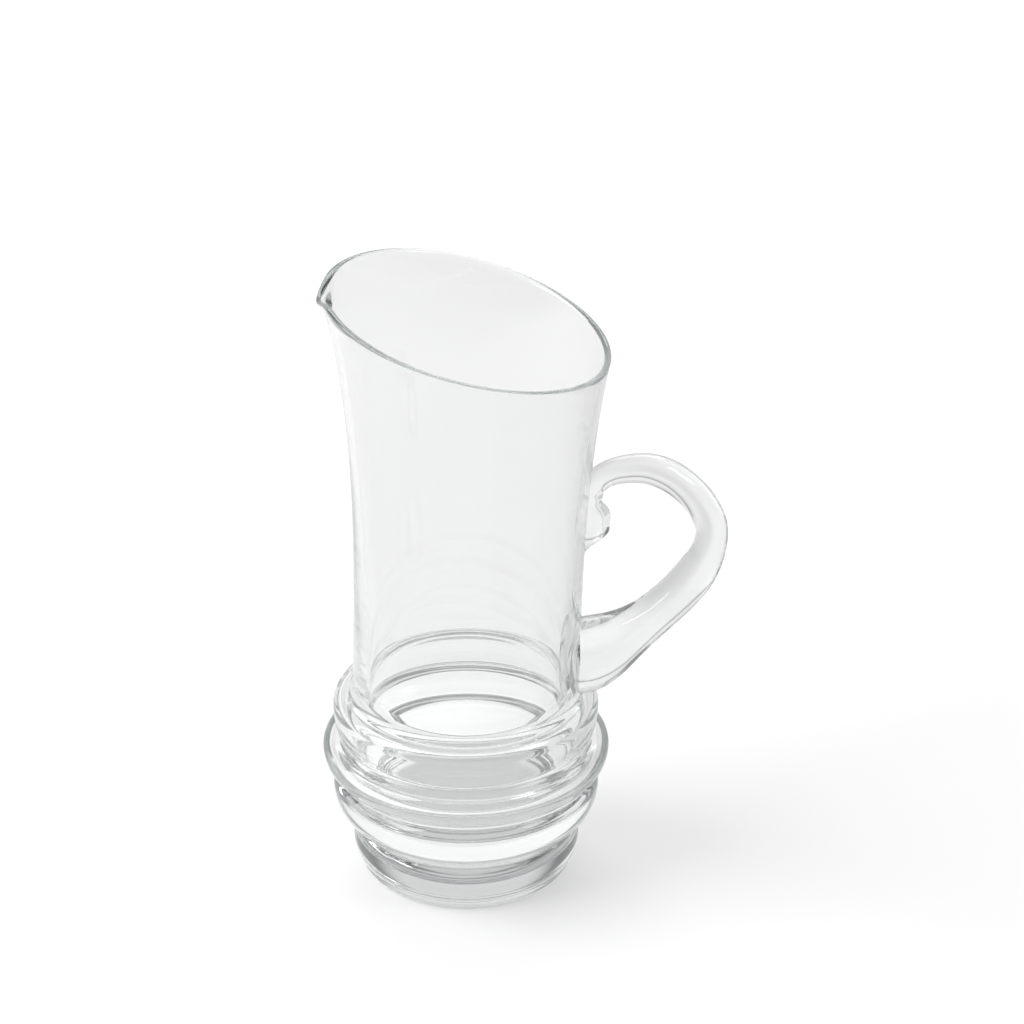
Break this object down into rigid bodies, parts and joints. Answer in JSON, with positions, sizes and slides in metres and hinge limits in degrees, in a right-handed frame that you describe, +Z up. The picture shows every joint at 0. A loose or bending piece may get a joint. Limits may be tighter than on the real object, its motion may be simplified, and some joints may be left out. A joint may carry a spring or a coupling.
{
  "type": "glass pitcher",
  "caption": "Tall clear glass pitcher with a ringed base on a heavy foot, a slanted rim with a small pouring lip, and a drawn loop handle stuck on the opposite side.",
  "frame": {"origin": "middle of the flat base the pitcher stands on", "axes": "+Z up, +X from the body towards the handle, the pouring lip is at -X"},
  "size_m": [0.1702, 0.1226, 0.2694],
  "materials": {
    "clear_glass": "clear fire-polished glass with a faint green-grey tint",
    "handle_glass": "clear drawn glass rod with a faint green-grey tint"
  },
  "bodies": {
    "root": {"body": "clear_glass", "handle": "handle_glass"}
  },
  "joints": []
}
